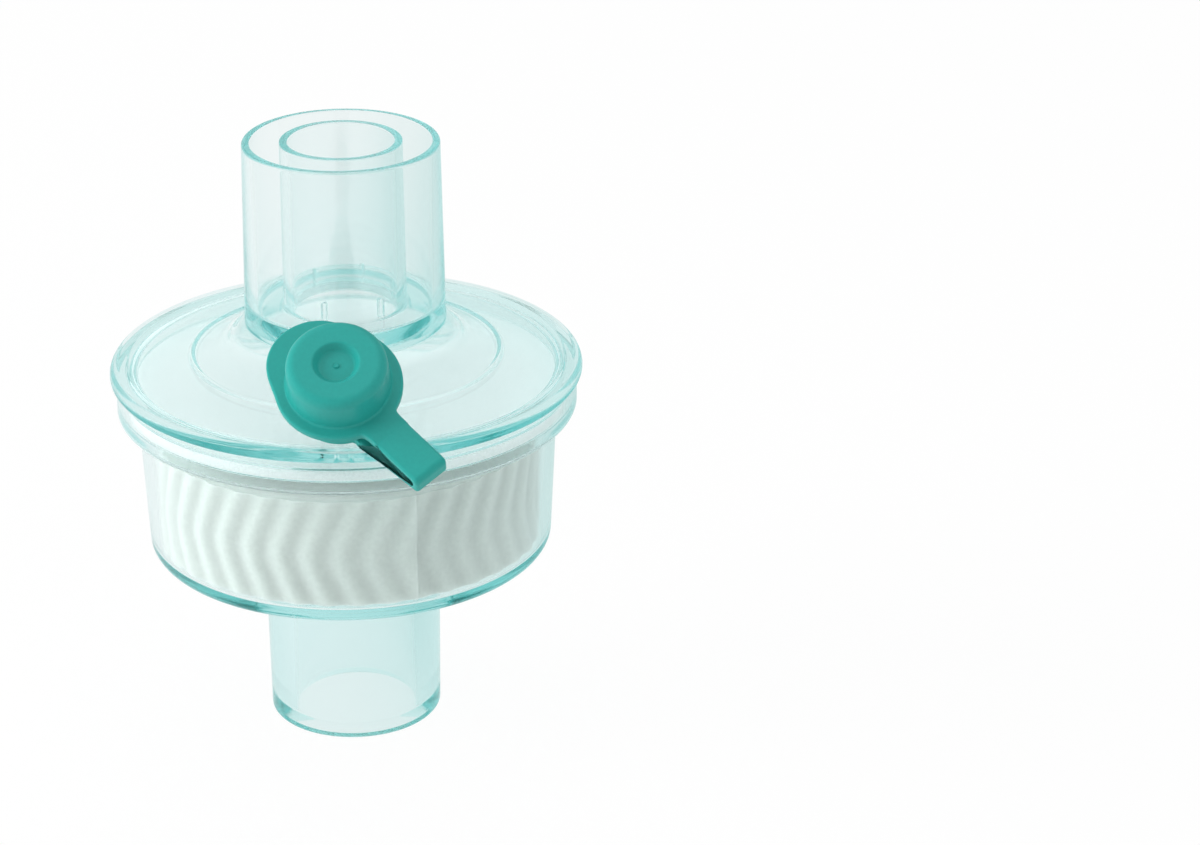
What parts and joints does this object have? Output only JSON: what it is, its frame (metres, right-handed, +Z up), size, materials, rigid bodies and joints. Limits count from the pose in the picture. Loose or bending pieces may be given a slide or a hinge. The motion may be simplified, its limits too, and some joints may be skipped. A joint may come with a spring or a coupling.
{
  "type": "breathing circuit filter",
  "caption": "Clear filter housing with coaxial conical ports, a pleated heat and moisture roll, a filter membrane and a capped sampling port.",
  "frame": {"origin": "centre of the lower port's end face, which the filter stands on", "axes": "+Z up along the common axis of both ports, -Y towards the side the sampling port leans to, +X to the right seen from that side"},
  "size_m": [0.0594, 0.0682, 0.0777],
  "materials": {
    "clear_housing": "clear moulded plastic with a pale teal tint",
    "membrane_felt": "white non-woven felt",
    "roll_paper": "matt corrugated paper",
    "cap_plastic": "soft satin plastic"
  },
  "bodies": {
    "housing": {"lower_housing": "clear_housing", "upper_housing": "clear_housing", "filter_membrane": "membrane_felt", "hme_roll": "roll_paper"},
    "tether": {"neck_ring": "cap_plastic", "cap_strap": "cap_plastic"},
    "cap": {"luer_cap": "cap_plastic"}
  },
  "joints": [
    {"name": "cap_swivel", "type": "hinge", "parent": "housing", "child": "tether", "pos_m": [0.0012, -0.0222, 0.0495], "axis": [0, -0.5736, 0.8192], "range_deg": [-200, 115]},
    {"name": "cap_pull", "type": "slide", "parent": "tether", "child": "cap", "axis": [0, -0.5736, 0.8192], "range_m": [0, 0.008], "deforming": ["cap_strap"]}
  ]
}
